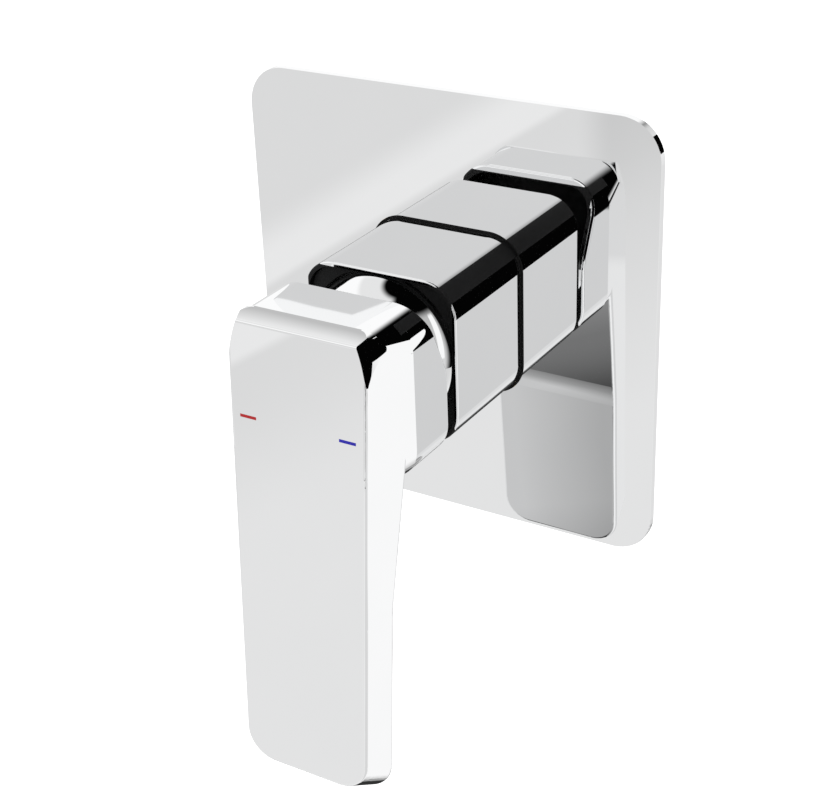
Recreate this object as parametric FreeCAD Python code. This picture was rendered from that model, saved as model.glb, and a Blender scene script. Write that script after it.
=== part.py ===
import FreeCAD, Part
import math
import os

# Concealed single-lever shower mixer: wall trim, lever handle, ceramic cartridge and in-wall brass body.
# Millimetres. The origin is on the valve axis, in the plane of the finished wall. +X is to the right as seen
# from the room, +Y goes into the wall and +Z is up, so all that stands in the room has a negative Y.
# A value called reach is a distance from the wall into the room, and a value called depth goes into the wall.

# Shared clearances
overrun = 6.0
seat_clearance = 0.05
running_clearance = 0.05
free_clearance = 0.3

# Wall plate, its foam gasket and the rubber lip round the sleeve
plate_side = 120.0
plate_thickness = 2.5
plate_corner_radius = 11.0
plate_edge_radius = 0.8
plate_drop = 1.5
plate_lip = 2.0
plate_recess_depth = 1.0
gasket_width = 7.0
lip_width = 0.9
lip_setback = 0.5
lip_depth = 1.6
opening_rim = 2.5

# Sleeve: a thin rounded-square tube
sleeve_side = 44.0
sleeve_corner_radius = 9.0
sleeve_wall = 1.2
sleeve_reach = 36.0
sleeve_tail = 4.0
sleeve_rim_radius = 0.5

# Handle: hub behind, lever in front and hanging below
pivot_reach = 25.0
lift_angle = 25.0
swivel_angle = 50.0
hub_rear_reach = 40.3
hub_cut_height = 1.5
hub_cut_blend = 9.0
hub_flat_reach = 56.0
side_draft = 8.5
brow_reach = 66.7
brow_drop = 1.8
face_reach = 72.2
face_lean = 4.0
lever_foot = 101.3
lever_foot_slant = 6.5
lever_thickness = 10.8
lever_swell_height = 52.0
lever_root_thickness = 14.3
lever_swell_radius = 60.0
lever_foot_corner = 8.5
lever_top_corner = 3.5
shoulder_radius = 38.0
shoulder_turn = 26.3
shoulder_height = 6.0
back_edge_round = 1.0
rim_round = 1.0
face_edge_round = 0.9
hub_wall = 2.0
hub_hollow_reach = 58.0
boss_wall = 2.2
mark_length = 4.7
mark_width = 0.8
mark_inlay = 0.5
mark_spread = 14.2
mark_below_axis = 4.1

# Dome cover: a zone of a ball centred on the lift pin
dome_ball_radius = 23.5
dome_wall = 1.2
dome_flange_thickness = 1.0
dome_flange_setback = 1.2
dome_mouth_radius = 14.8
dome_handle_gap = 0.6
dome_sleeve_gap = 0.3
dome_skirt_wall = 1.4
dome_skirt_length = 2.4

# Cartridge, counted from its seat in the body
seat_depth = 5.0
base_thickness = 5.0
fixed_disc_thickness = 4.0
moving_disc_thickness = 4.0
carrier_thickness = 7.0
disc_film = 0.02
housing_radius = 17.5
housing_collar_radius = 13.3
housing_collar_length = 7.0
housing_chamber_radius = 15.5
rotor_radius = 11.0
rotor_flange_radius = 14.5
rotor_flange_thickness = 2.7
rotor_front_reach = 32.4
stop_ring_thickness = 1.4
stop_ring_wall = 0.8
stop_lug_half_angle = 12.0
stop_play_angle = 1.5
fixed_disc_radius = 15.3
moving_disc_radius = 12.4
carrier_radius = 12.3
port_radius = 3.4
inlet_port_x = 8.5
inlet_port_z = -4.0
outlet_port_z = 8.0
mixing_recess_depth = 2.4
mixing_recess_low = 2.2
mixing_recess_high = 12.2
mixing_recess_half_width = 8.0
mixing_recess_corner = 3.0
seal_section = 1.2
seal_squeeze = 0.2
guide_rib_x = 8.6
guide_rib_width = 2.0
guide_rib_height = 2.0
guide_rib_half_length = 6.5
carrier_lug_width = 3.0
carrier_lug_height = 1.6
carrier_lug_length = 2.0

# Spindle and its hinge pin
spindle_side = 8.0
spindle_reach = 62.0
spindle_heel = 3.0
shank_radius = 1.9
ball_radius = 3.2
ball_arm = 12.5
pin_radius = 2.0
pin_half_length = 9.6
spindle_slot_play = 0.15
socket_play = 0.3
insert_wall = 1.1
insert_length = 13.0
grub_setback = 9.0
grub_radius = 2.4
grub_length = 10.0
grub_key_side = 2.5
grub_key_depth = 2.5
cap_radius = 3.2
cap_thickness = 1.6

# Retaining nut
nut_thread_radius = 18.5
nut_inner_radius = 13.6
nut_front_reach = 31.0
nut_collar_radius = 16.2
nut_collar_length = 2.5
nut_notch_count = 6
nut_notch_width = 4.0
nut_notch_depth = 2.0

# In-wall body
neck_radius = 20.4
neck_front_reach = 30.0
neck_bore_radius = 17.7
barrel_radius = 23.5
barrel_front_depth = 5.5
barrel_rear_depth = 33.5
barrel_edge_round = 1.2
port_axis_depth = 17.0
boss_radius = 13.0
boss_reach = 24.8
socket_depth = 9.5
passage_radius = 6.0
outlet_passage_end = 7.5
flange_side = 58.0
flange_corner_radius = 7.0
flange_thickness = 4.0
fixing_spacing = 44.0
fixing_hole_radius = 2.6
ring_section_radius = 0.85
ring_first_reach = 20.0
ring_pitch = 9.0

# Threaded nipples, blanking plug and their washers
nipple_thread_radius = 10.48
nipple_thread_length = 13.0
nipple_shank_radius = 8.3
nipple_shank_length = 8.5
nipple_bore_radius = 6.0
nipple_hex_across = 24.0
nipple_hex_length = 4.0
nipple_lead_in = 1.0
washer_thickness = 1.0
washer_outer_radius = 11.8
plug_key_side = 8.0
plug_key_depth = 3.0

# Places that follow from the sizes above
half = sleeve_side / 2
inner_half = half - sleeve_wall
pivot_y = -pivot_reach
base_front_y = seat_depth - base_thickness
fixed_front_y = base_front_y - fixed_disc_thickness
moving_rear_y = fixed_front_y - disc_film
moving_front_y = moving_rear_y - moving_disc_thickness
carrier_front_y = moving_front_y - carrier_thickness
rotor_rear_y = carrier_front_y - free_clearance
flange_front_y = rotor_rear_y - rotor_flange_thickness
shoulder_y = -nut_front_reach + housing_collar_length
lift = math.radians(lift_angle)
disc_travel = ball_arm * math.sin(lift)
disc_rest_z = disc_travel / 2
dome_foot_radius = inner_half - dome_sleeve_gap
cavity_radius = dome_ball_radius + dome_handle_gap
grub_reach = spindle_reach - grub_setback
lean = math.tan(math.radians(face_lean))
face_top_z = half - brow_drop

Vector = FreeCAD.Vector
X_AXIS = Vector(1, 0, 0)
Y_AXIS = Vector(0, 1, 0)
Z_AXIS = Vector(0, 0, 1)
ORIGIN = Vector(0, 0, 0)
FULL_TURN = 360
QUARTER_TURN = 90


def face_y(height):
    """Y of the lever's leaning front face at a height above the valve axis."""
    return -face_reach - (face_top_z - height) * lean


def on_front(y):
    """Places outline points (x, z) in the plane that faces the room at y."""
    return lambda a, b: Vector(a, y, b)


def on_side(x):
    """Places outline points (y, z) in the side plane at x."""
    return lambda a, b: Vector(x, a, b)


def turn_section(a, b):
    """Places outline points (radius, y) in the half plane that a turned piece is spun from."""
    return Vector(a, b, 0)


def outline(corners, place):
    """Closed wire through corners (a, b, radius), with a tangent arc at each corner that has a radius."""
    count = len(corners)
    ends = []
    for i, (a, b, radius) in enumerate(corners):
        corner = Vector(a, b, 0)
        back = Vector(*corners[i - 1][:2], 0) - corner
        on = Vector(*corners[(i + 1) % count][:2], 0) - corner
        if radius == 0:
            ends.append((corner, None, corner))
            continue
        back.normalize()
        on.normalize()
        bisector = back + on
        bisector.normalize()
        half_angle = back.getAngle(on) / 2
        run = radius / math.tan(half_angle)
        middle = corner + bisector * (radius / math.sin(half_angle) - radius)
        ends.append((corner + back * run, middle, corner + on * run))
    edges = []
    for i, (start, middle, end) in enumerate(ends):
        if middle is not None:
            arc = [place(p.x, p.y) for p in (start, middle, end)]
            edges.append(Part.Arc(*arc).toShape())
        following = ends[(i + 1) % count][0]
        if end.distanceToPoint(following) > 1e-7:
            edges.append(Part.LineSegment(place(end.x, end.y), place(following.x, following.y)).toShape())
    return Part.Wire(edges)


def rounded_square(side, radius, centre_z=0.0):
    h = side / 2
    return [(-h, centre_z - h, radius), (h, centre_z - h, radius),
            (h, centre_z + h, radius), (-h, centre_z + h, radius)]


def slab(corners, y_front, y_rear):
    """Solid between two depths with the given outline in the wall's plane."""
    return Part.Face(outline(corners, on_front(y_front))).extrude(Vector(0, y_rear - y_front, 0))


def turned(profile):
    """Solid spun about the valve axis from (radius, y) corners."""
    corners = [(a, b, 0) for a, b in profile]
    return Part.Face(outline(corners, turn_section)).revolve(ORIGIN, Y_AXIS, FULL_TURN)


def rod(radius, start, end):
    """Solid cylinder between two points."""
    along = end - start
    return Part.makeCylinder(radius, along.Length, start, along)


def rod_y(radius, y_start, y_end, x=0.0, z=0.0):
    return rod(radius, Vector(x, y_start, z), Vector(x, y_end, z))


def tube_y(outer, inner, y_start, y_end, x=0.0, z=0.0):
    return rod_y(outer, y_start, y_end, x, z).cut(rod_y(inner, y_start, y_end, x, z))


def box(x_low, x_high, y_low, y_high, z_low, z_high):
    return Part.makeBox(x_high - x_low, y_high - y_low, z_high - z_low, Vector(x_low, y_low, z_low))


def edges_where(shape, keep):
    """Edges whose every sampled point passes the test."""
    found = []
    for edge in shape.Edges:
        points = edge.discretize(5)
        if all(keep(p) for p in points):
            found.append(edge)
    return found


def near(value, target):
    return abs(value - target) < 1e-4


def save(shape, node):
    shape = shape.removeSplitter()
    shape.exportStep(os.path.join("parts", node + ".step"))


# Wall plate: pressed square with a rolled front edge and a shallow recess behind for the gasket
def make_wall_plate():
    plate = slab(rounded_square(plate_side, plate_corner_radius, -plate_drop), -plate_thickness, 0)
    rim = edges_where(plate, lambda p: near(p.y, -plate_thickness))
    plate = plate.makeFillet(plate_edge_radius, rim)
    opening_side = sleeve_side + 2 * lip_width
    opening_radius = sleeve_corner_radius + lip_width
    recess = slab(rounded_square(plate_side - 2 * plate_lip, plate_corner_radius - plate_lip, -plate_drop),
                  -plate_recess_depth, overrun)
    rim_side = opening_side + 2 * opening_rim
    collar = slab(rounded_square(rim_side, opening_radius + opening_rim), -plate_recess_depth, overrun)
    opening = slab(rounded_square(opening_side, opening_radius), -plate_thickness - overrun, overrun)
    return plate.cut(recess.cut(collar)).cut(opening)


# Foam gasket: a flat square ring that seals the plate's edge to the tiles
def make_plate_gasket():
    outer = plate_side - 2 * plate_lip - 2 * seat_clearance
    radius = plate_corner_radius - plate_lip - seat_clearance
    inner = outer - 2 * gasket_width
    ring = slab(rounded_square(outer, radius, -plate_drop), -plate_recess_depth, 0)
    hole = slab(rounded_square(inner, sleeve_corner_radius, -plate_drop),
                -plate_recess_depth - overrun, overrun)
    return ring.cut(hole)


# Rubber lip that fills the narrow joint between plate and sleeve
def make_sleeve_lip():
    front = -plate_thickness + lip_setback
    outer = slab(rounded_square(sleeve_side + 2 * lip_width - 2 * seat_clearance,
                                sleeve_corner_radius + lip_width - seat_clearance), front, front + lip_depth)
    inner = slab(rounded_square(sleeve_side + 2 * seat_clearance, sleeve_corner_radius + seat_clearance),
                 front - overrun, front + lip_depth + overrun)
    return outer.cut(inner)


def make_sleeve():
    tube = slab(rounded_square(sleeve_side, sleeve_corner_radius), -sleeve_reach, sleeve_tail)
    rim = edges_where(tube, lambda p: near(p.y, -sleeve_reach))
    tube = tube.makeFillet(sleeve_rim_radius, rim)
    bore = slab(rounded_square(2 * inner_half, sleeve_corner_radius - sleeve_wall),
                -sleeve_reach - overrun, sleeve_tail + overrun)
    return tube.cut(bore)


# Dome cover: thin ball zone on a square flange that closes the sleeve, with a skirt over the nut's collar
def make_dome_cover():
    inner_ball = dome_ball_radius - dome_wall
    flange_front_y = -sleeve_reach + dome_flange_setback
    flange_rear_y = flange_front_y + dome_flange_thickness
    mouth_y = pivot_y - math.sqrt(dome_ball_radius ** 2 - dome_mouth_radius ** 2)
    centre = Vector(0, pivot_y, 0)
    outside = Part.makeSphere(dome_ball_radius, centre).common(
        rod_y(dome_foot_radius, mouth_y, flange_rear_y))
    hollow = Part.makeSphere(inner_ball, centre).common(
        rod_y(dome_foot_radius - dome_wall, mouth_y - overrun, flange_front_y))
    shell = outside.cut(hollow).cut(rod_y(dome_mouth_radius, mouth_y - overrun, flange_front_y))
    flange_side = 2 * (inner_half - dome_sleeve_gap)
    flange = slab(rounded_square(flange_side, sleeve_corner_radius - sleeve_wall - dome_sleeve_gap),
                  flange_front_y, flange_rear_y)
    skirt_inner = nut_collar_radius + seat_clearance
    skirt = rod_y(skirt_inner + dome_skirt_wall, flange_rear_y, flange_rear_y + dome_skirt_length)
    bore = rod_y(skirt_inner, flange_front_y - overrun, flange_rear_y + dome_skirt_length)
    return shell.fuse([flange, skirt]).cut(bore.common(rod_y(dome_foot_radius, flange_front_y, seat_depth)))


# Retaining nut: threaded ring that holds the cartridge in the neck, notched for a pin spanner
def make_cartridge_nut():
    rear_y = shoulder_y - seat_clearance
    front_y = -nut_front_reach
    collar_y = front_y - nut_collar_length
    nut = turned([(nut_inner_radius, rear_y), (nut_thread_radius, rear_y), (nut_thread_radius, front_y),
                  (nut_collar_radius, front_y), (nut_collar_radius, collar_y), (nut_inner_radius, collar_y)])
    notch = box(-nut_notch_width / 2, nut_notch_width / 2, collar_y - overrun, collar_y + nut_notch_depth,
                nut_inner_radius - overrun, nut_collar_radius + overrun)
    for i in range(nut_notch_count):
        cutter = notch.copy()
        cutter.rotate(ORIGIN, Y_AXIS, i * FULL_TURN / nut_notch_count)
        nut = nut.cut(cutter)
    return nut


# Cartridge housing: stepped plastic cup with a wide disc chamber behind and a rotor bore in front
def make_cartridge_housing():
    bore = rotor_radius + running_clearance
    chamber_y = flange_front_y - free_clearance
    return turned([(housing_chamber_radius, base_front_y), (housing_radius, base_front_y),
                   (housing_radius, shoulder_y), (housing_collar_radius, shoulder_y),
                   (housing_collar_radius, -nut_front_reach), (bore, -nut_front_reach),
                   (bore, chamber_y), (housing_chamber_radius, chamber_y)])


def port_places():
    return [(-inlet_port_x, inlet_port_z), (inlet_port_x, inlet_port_z), (0.0, outlet_port_z)]


def with_ports(shape, y_start, y_end, radius):
    for x, z in port_places():
        shape = shape.cut(rod_y(radius, y_start, y_end, x, z))
    return shape


# Cartridge base: carries the fixed disc, with a groove round each port for its seal
def make_cartridge_base():
    base = rod_y(housing_radius, base_front_y, seat_depth)
    base = with_ports(base, base_front_y - overrun, seat_depth + overrun, port_radius)
    groove_y = seat_depth - seal_section + seal_squeeze
    for x, z in port_places():
        base = base.cut(rod_y(port_radius + seal_section, groove_y, seat_depth + overrun, x, z))
    return base


# Port seals: three flat rubber rings between the base and the seat
def make_port_seals():
    groove_y = seat_depth - seal_section + seal_squeeze
    rings = [tube_y(port_radius + seal_section - seat_clearance, port_radius, groove_y, seat_depth, x, z)
             for x, z in port_places()]
    return Part.makeCompound(rings)


def make_fixed_disc():
    disc = rod_y(fixed_disc_radius, fixed_front_y, base_front_y)
    return with_ports(disc, fixed_front_y - overrun, base_front_y + overrun, port_radius)


# Moving disc: slides down on the fixed disc as the lever is lifted, with a mixing recess in its lapped face
def make_moving_disc():
    disc = rod_y(moving_disc_radius, moving_front_y, moving_rear_y, 0.0, disc_rest_z)
    w = mixing_recess_half_width
    r = mixing_recess_corner
    recess = slab([(-w, mixing_recess_low, r), (w, mixing_recess_low, r),
                   (w, mixing_recess_high, w / 2), (-w, mixing_recess_high, w / 2)],
                  moving_rear_y - mixing_recess_depth, moving_rear_y + overrun)
    disc = disc.cut(recess)
    for side in (-1, 1):
        disc = disc.cut(disc_lug(side, seat_clearance))
    return disc


def disc_lug(side, clearance):
    """Small block on the carrier's rim that turns the moving disc."""
    w = carrier_lug_width / 2 + clearance
    low_x = moving_disc_radius - carrier_lug_length - clearance
    high_x = moving_disc_radius + overrun if clearance else carrier_radius
    x_pair = sorted((side * low_x, side * high_x))
    return box(x_pair[0], x_pair[1], moving_front_y, moving_front_y + carrier_lug_height + clearance,
               disc_rest_z - w, disc_rest_z + w)


# Disc carrier: plastic driver with a flared pocket for the spindle's ball and two straight guide grooves
def make_disc_carrier():
    carrier = rod_y(carrier_radius, carrier_front_y, moving_front_y, 0.0, disc_rest_z)
    pocket_radius = ball_radius + free_clearance
    floor_y = pivot_y + ball_arm + ball_radius + free_clearance
    carrier = carrier.cut(rod_y(pocket_radius, carrier_front_y - overrun, floor_y))
    flare_depth = carrier_thickness / 4
    flare_radius = pocket_radius + flare_depth
    mouth = Vector(0, carrier_front_y, 0)
    flare = Part.makeCone(flare_radius, pocket_radius, flare_depth, mouth, Y_AXIS)
    carrier = carrier.cut(flare)
    groove_half = guide_rib_width / 2 + running_clearance
    for side in (-1, 1):
        x = side * guide_rib_x
        carrier = carrier.cut(box(x - groove_half, x + groove_half, carrier_front_y - overrun,
                                  rotor_rear_y + guide_rib_height + free_clearance,
                                  -carrier_radius - overrun, carrier_radius + disc_rest_z + overrun))
        round_room = rod_y(carrier_radius, moving_front_y, seat_depth, 0.0, disc_rest_z)
        carrier = carrier.fuse(disc_lug(side, 0.0).common(round_room))
    return carrier


def spindle_swing(play):
    """Side outline of the room that the spindle sweeps inside the rotor as it tilts, about the pin."""
    reach = spindle_side / 2 + play
    slope = math.tan(lift)
    slant = reach / math.cos(lift)
    knee = (slant - reach) / slope
    ahead = rotor_front_reach - pivot_reach + overrun
    behind = rotor_rear_y + guide_rib_height - pivot_y + overrun
    points = [(-ahead, -reach), (-knee, -reach), (behind, -behind * slope - slant),
              (behind, reach), (knee, reach), (-ahead, ahead * slope + slant)]
    return [(pivot_y + a, b, 0) for a, b in points]


# Cartridge rotor: turns in the housing, carries the hinge pin and drives the carrier by two ribs
def make_cartridge_rotor():
    rotor = rod_y(rotor_radius, -rotor_front_reach, rotor_rear_y)
    rotor = rotor.fuse(rod_y(rotor_flange_radius, flange_front_y, rotor_rear_y))
    for side in (-1, 1):
        x = side * guide_rib_x
        rib = box(x - guide_rib_width / 2, x + guide_rib_width / 2, rotor_rear_y,
                  rotor_rear_y + guide_rib_height, -guide_rib_half_length, guide_rib_half_length)
        rotor = rotor.fuse(rib)
    rotor = rotor.fuse(stop_lug())
    wide = spindle_side / 2 + spindle_slot_play
    slot = Part.Face(outline(spindle_swing(socket_play), on_side(-wide)))
    rotor = rotor.cut(slot.extrude(Vector(2 * wide, 0, 0)))
    pin_hole = rod(pin_radius, Vector(-pin_half_length, pivot_y, 0),
                   Vector(pin_half_length, pivot_y, 0))
    return rotor.cut(pin_hole)


def sector(inner, outer, y_start, y_end, half_angle):
    """Part of a ring, centred on the lowest point, that spans the given angle to each side."""
    profile = outline([(inner, y_start, 0), (outer, y_start, 0), (outer, y_end, 0), (inner, y_end, 0)],
                      turn_section)
    wedge = Part.Face(profile).revolve(ORIGIN, Y_AXIS, 2 * half_angle)
    wedge.rotate(ORIGIN, Y_AXIS, QUARTER_TURN - half_angle)
    return wedge


def stop_lug():
    """Rotor's lug that meets the stop ring at the hot and cold ends of the swivel."""
    outer = housing_collar_radius - stop_ring_wall - free_clearance
    y_rear = -nut_front_reach - free_clearance
    return sector(rotor_radius - overrun / 4, outer, -rotor_front_reach, y_rear, stop_lug_half_angle)


# Stop ring: sits on the housing's collar and limits how far the handle turns
def make_stop_ring():
    rear_y = -nut_front_reach
    front_y = rear_y - stop_ring_thickness
    inner = rotor_radius + free_clearance
    ring = tube_y(housing_collar_radius, inner, front_y, rear_y)
    gate_half = swivel_angle + stop_lug_half_angle + stop_play_angle
    gate = sector(rotor_radius, housing_collar_radius - stop_ring_wall,
                  front_y - overrun, rear_y + overrun, gate_half)
    return ring.cut(gate)


def make_spindle_pin():
    return rod(pin_radius, Vector(-pin_half_length, pivot_y, 0),
               Vector(pin_half_length, pivot_y, 0))


# Spindle: square steel stem on the pin, with a ball tip that pushes the carrier
def make_spindle():
    h = spindle_side / 2
    stem = box(-h, h, -spindle_reach, pivot_y + spindle_heel, -h, h)
    tips = edges_where(stem, lambda p: near(p.y, -spindle_reach))
    stem = stem.makeChamfer(spindle_side / 8, tips)
    ball_y = pivot_y + ball_arm
    shank = rod_y(shank_radius, pivot_y, ball_y)
    ball = Part.makeSphere(ball_radius, Vector(0, ball_y, 0))
    spindle = stem.fuse([shank, ball])
    hole = rod(pin_radius + running_clearance, Vector(-h - overrun, pivot_y, 0),
               Vector(h + overrun, pivot_y, 0))
    return spindle.cut(hole)


def socket_half():
    return spindle_side / 2 + seat_clearance + insert_wall + seat_clearance


# Spindle insert: split-free plastic sleeve that takes up play between the spindle and the handle
def make_spindle_insert():
    outer = spindle_side / 2 + seat_clearance + insert_wall
    inner = spindle_side / 2 + seat_clearance
    rear = -spindle_reach + insert_length
    insert = box(-outer, outer, -spindle_reach, rear, -outer, outer)
    insert = insert.cut(box(-inner, inner, -spindle_reach - overrun, rear + overrun, -inner, inner))
    screw = rod(grub_radius + seat_clearance, Vector(0, -grub_reach, -half), Vector(0, -grub_reach, 0))
    return insert.cut(screw)


def draw_in(reach):
    """How much narrower each side of the handle is at a reach, past the place where the sides are upright."""
    return max(0.0, reach - hub_flat_reach) * math.tan(math.radians(side_draft))


def handle_section(reach, low):
    """Front outline of the handle at a reach: its sides draw in and its upper corners tighten forwards."""
    half_width = half - draw_in(reach)
    tighten = max(0.0, reach - hub_flat_reach) / (face_reach - hub_flat_reach)
    top_radius = sleeve_corner_radius + (lever_top_corner - sleeve_corner_radius) * tighten
    low_radius = sleeve_corner_radius if low == -half else lever_foot_corner
    return [(-half_width, low, low_radius), (half_width, low, low_radius),
            (half_width, half, top_radius), (-half_width, half, top_radius)]


def handle_block(low):
    """Upright sides behind and drawn-in sides in front, with the lower edge that low gives for a reach."""
    front_reach = -face_y(-lever_foot) + overrun
    sections = [outline(handle_section(reach, low(reach)), on_front(-reach))
                for reach in (hub_rear_reach, hub_flat_reach, front_reach)]
    upright = Part.makeLoft(sections[:2], True, True)
    drawn = Part.makeLoft(sections[1:], True, True)
    return upright.fuse(drawn)


def hub_low(reach):
    return -half


def foot_z(reach):
    """Height of the lever's foot, which is cut a little lower at the back than at the front."""
    front_reach = -face_y(-lever_foot)
    return -lever_foot - (front_reach - reach) * lever_foot_slant / lever_thickness


def side_cut(corners):
    """Solid with the given side outline, wider than the handle."""
    face = Part.Face(outline(corners, on_side(-half - overrun)))
    return face.extrude(Vector(sleeve_side + 2 * overrun, 0, 0))


def shoulder(side):
    """What is taken off an upper front corner of the handle to leave it rounded like a large ball."""
    edge_reach = -face_y(shoulder_height)
    turn = math.radians(shoulder_turn)
    x = half - draw_in(edge_reach) - shoulder_radius * math.cos(turn)
    y = -edge_reach + shoulder_radius * math.sin(turn)
    ball = Part.makeSphere(shoulder_radius, Vector(side * x, y, shoulder_height))
    edges = sorted((0.0, side * half))
    corner = box(*edges, -edge_reach - overrun, -hub_flat_reach, shoulder_height, half + overrun)
    return corner.cut(ball)


def handle_shell():
    """Hub and lever as one casting, before its pocket and holes are cut."""
    cut_top_reach = hub_rear_reach + (half - hub_cut_height) * math.tan(lift)
    hub_profile = [(-hub_rear_reach, -half, 0), (-hub_rear_reach, hub_cut_height, hub_cut_blend),
                   (-cut_top_reach, half, 0), (-brow_reach, half, 0),
                   (-face_reach, face_top_z, 0), (face_y(-half), -half, 0)]
    hub = slab(rounded_square(sleeve_side, sleeve_corner_radius), face_y(-half) - overrun, -hub_rear_reach)
    hub = hub.common(side_cut(hub_profile))
    hub = hub.makeFillet(rim_round, [e for e in hub.Edges if is_rear_rim(e)])
    hub = hub.common(handle_block(hub_low))
    swell_z = -lever_swell_height
    swell_y = face_y(swell_z) + lever_thickness
    root_y = face_y(-half) + lever_root_thickness
    inside_y = root_y + (root_y - swell_y) * half / (lever_swell_height - half)
    end_z = -lever_foot - lever_foot_slant - overrun
    lever_profile = [(-brow_reach, half, 0), (-face_reach, face_top_z, 0), (face_y(end_z), end_z, 0),
                     (face_y(end_z) + lever_thickness, end_z, 0), (swell_y, swell_z, lever_swell_radius),
                     (inside_y, 0, 0)]
    lever = handle_block(foot_z).common(side_cut(lever_profile))
    lever = lever.makeFillet(back_edge_round, [e for e in lever.Edges if is_back_foot(e)])
    return hub.fuse(lever).removeSplitter()


def hub_hollow():
    """Room inside the hub's walls, round the boss that holds the spindle and the grub screw."""
    radius = sleeve_corner_radius - hub_wall
    room = slab(rounded_square(sleeve_side - 2 * hub_wall, radius), -hub_hollow_reach, pivot_y)
    boss_half = socket_half() + boss_wall
    boss = box(-boss_half, boss_half, -hub_hollow_reach - overrun, pivot_y + overrun, -half, boss_half)
    return room.cut(boss)


def front_frame():
    """Placement of the leaning front face: its own z = 0 is at the valve axis, and -Y points out of it."""
    turn = FreeCAD.Rotation(X_AXIS, -face_lean)
    return FreeCAD.Placement(Vector(0, face_y(0.0), 0), turn)


def mark(side, proud):
    """Small bar let into the front face on the hot (-1) or cold (1) side."""
    x = side * mark_spread
    bar = box(x - mark_length / 2, x + mark_length / 2, -proud, mark_inlay,
              -mark_below_axis - mark_width / 2, -mark_below_axis + mark_width / 2)
    bar.Placement = front_frame()
    return bar


def make_handle():
    handle = handle_shell()
    face_edges = [e for e in handle.Edges if is_face_rim(e)]
    handle = handle.makeFillet(face_edge_round, face_edges)
    handle = handle.cut([shoulder(-1), shoulder(1)]).cut(hub_hollow())
    pocket = Part.makeSphere(cavity_radius, Vector(0, pivot_y, 0))
    s = socket_half()
    socket = box(-s, s, -spindle_reach - free_clearance, -hub_rear_reach + overrun, -s, s)
    screw_hole = rod(grub_radius + seat_clearance, Vector(0, -grub_reach, -half - overrun),
                     Vector(0, -grub_reach, 0))
    cap_seat = rod(cap_radius + seat_clearance, Vector(0, -grub_reach, -half - overrun),
                   Vector(0, -grub_reach, -half + cap_thickness))
    handle = handle.cut(pocket).cut(socket).cut(screw_hole).cut(cap_seat)
    for side in (-1, 1):
        handle = handle.cut(mark(side, overrun))
    return handle


def is_rear_rim(edge):
    """Edges of the hub's rear end, upright in its lower part and slanted above."""
    slope = math.tan(lift)
    for p in edge.discretize(5):
        slanted_y = -hub_rear_reach - max(0.0, p.z - hub_cut_height) * slope
        if abs(p.y - slanted_y) > hub_cut_blend / 8:
            return False
    return True


def is_face_rim(edge):
    """Edges that bound the leaning front face."""
    return all(abs(p.y - face_y(p.z)) < 1e-3 for p in edge.discretize(5))


def is_back_foot(edge):
    """Lower edge of the lever's back."""
    return all(near(p.y, face_y(p.z) + lever_thickness) and p.z < -lever_foot for p in edge.discretize(5))


def make_hot_mark():
    return mark(-1, 0.0)


def make_cold_mark():
    return mark(1, 0.0)


def hexagon_rod(across, start, end):
    """Hexagonal bar between two points, measured across its flats."""
    along = end - start
    corner = across / math.sqrt(3)
    points = [Vector(corner * math.cos(i * math.pi / 3), corner * math.sin(i * math.pi / 3), 0)
              for i in range(6)]
    bar = Part.Face(Part.makePolygon(points + points[:1])).extrude(Z_AXIS * along.Length)
    bar.Placement = FreeCAD.Placement(start, FreeCAD.Rotation(Z_AXIS, along))
    return bar


# Grub screw: holds the handle on the spindle, reached from under the hub
def make_grub_screw():
    top = Vector(0, -grub_reach, -spindle_side / 2 - seat_clearance)
    bottom = top - Z_AXIS * grub_length
    screw = rod(grub_radius, top, bottom)
    key = hexagon_rod(grub_key_side, bottom - Z_AXIS * overrun, bottom + Z_AXIS * grub_key_depth)
    return screw.cut(key)


def make_grub_cap():
    outside = Vector(0, -grub_reach, -half)
    return rod(cap_radius, outside, outside + Z_AXIS * cap_thickness)


def ring_y(i):
    return -ring_first_reach + i * ring_pitch


# Neck rings: two rubber rings in grooves of the neck, on which the sleeve is pushed
def make_neck_rings():
    major = inner_half - seat_clearance - ring_section_radius
    return Part.makeCompound([Part.makeTorus(major, ring_section_radius, Vector(0, ring_y(i), 0), Y_AXIS)
                              for i in range(2)])


def port_directions():
    """Outward directions of the hot, cold, outlet and blanked ports."""
    return {"hot": -X_AXIS, "cold": X_AXIS, "outlet": Z_AXIS, "blank": -Z_AXIS}


def along_port(direction, distance):
    return Vector(0, port_axis_depth, 0) + direction * distance


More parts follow.
